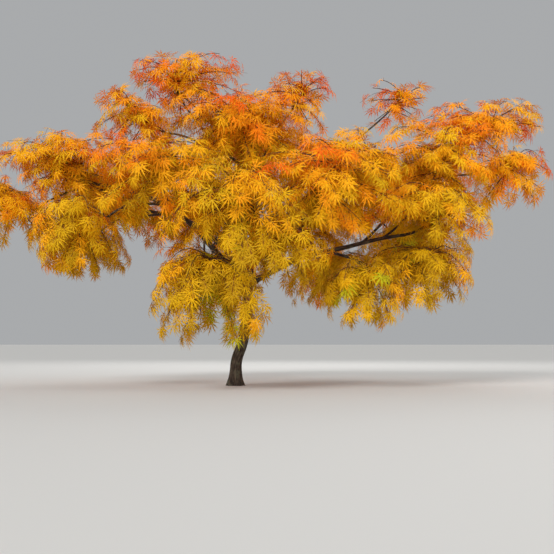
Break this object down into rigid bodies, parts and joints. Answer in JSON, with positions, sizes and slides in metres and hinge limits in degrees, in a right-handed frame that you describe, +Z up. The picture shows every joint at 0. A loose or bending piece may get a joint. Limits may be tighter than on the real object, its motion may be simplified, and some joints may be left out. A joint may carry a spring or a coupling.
{
  "type": "japanese maple tree",
  "caption": "Weeping laceleaf maple in autumn leaf: a leaning trunk, long arched boughs and layered, drooping masses of finely cut leaves.",
  "frame": {"origin": "middle of the flat cut under the trunk, at ground level", "axes": "+Z up, +X to the right across the pictured side, +Y away from the viewer"},
  "size_m": [3.7548, 2.647, 2.1602],
  "materials": {
    "bark": "rough grey-brown bark",
    "leaves": "matt orange-gold autumn leaf"
  },
  "bodies": {
    "root": {"trunk": "bark", "bough_back": "bark", "bough_back_far": "bark", "bough_back_far_low": "bark", "bough_back_high": "bark", "bough_back_left": "bark", "bough_back_left_low": "bark", "bough_back_low": "bark", "bough_back_right": "bark", "bough_back_right_low": "bark", "bough_front": "bark", "bough_front_left": "bark", "bough_front_low": "bark", "bough_front_right": "bark", "bough_high_spray": "bark", "bough_left": "bark", "bough_left_low": "bark", "bough_left_shoulder": "bark", "bough_left_tip": "bark", "bough_middle_low": "bark", "bough_right": "bark", "bough_right_centre": "bark", "bough_right_far": "bark", "bough_right_low": "bark", "bough_right_lowest": "bark", "bough_right_tip": "bark", "bough_right_top": "bark", "bough_top_left": "bark", "bough_top_right": "bark", "leaves_back": "leaves", "leaves_back_far": "leaves", "leaves_back_far_low": "leaves", "leaves_back_high": "leaves", "leaves_back_left": "leaves", "leaves_back_left_low": "leaves", "leaves_back_low": "leaves", "leaves_back_right": "leaves", "leaves_back_right_low": "leaves", "leaves_centre_high": "leaves", "leaves_front": "leaves", "leaves_front_left": "leaves", "leaves_front_low": "leaves", "leaves_front_right": "leaves", "leaves_high_spray": "leaves", "leaves_left": "leaves", "leaves_left_low": "leaves", "leaves_left_shoulder": "leaves", "leaves_left_tip": "leaves", "leaves_middle_low": "leaves", "leaves_right": "leaves", "leaves_right_centre": "leaves", "leaves_right_far": "leaves", "leaves_right_low": "leaves", "leaves_right_lowest": "leaves", "leaves_right_tip": "leaves", "leaves_right_top": "leaves", "leaves_top_left": "leaves", "leaves_top_right": "leaves"}
  },
  "joints": []
}
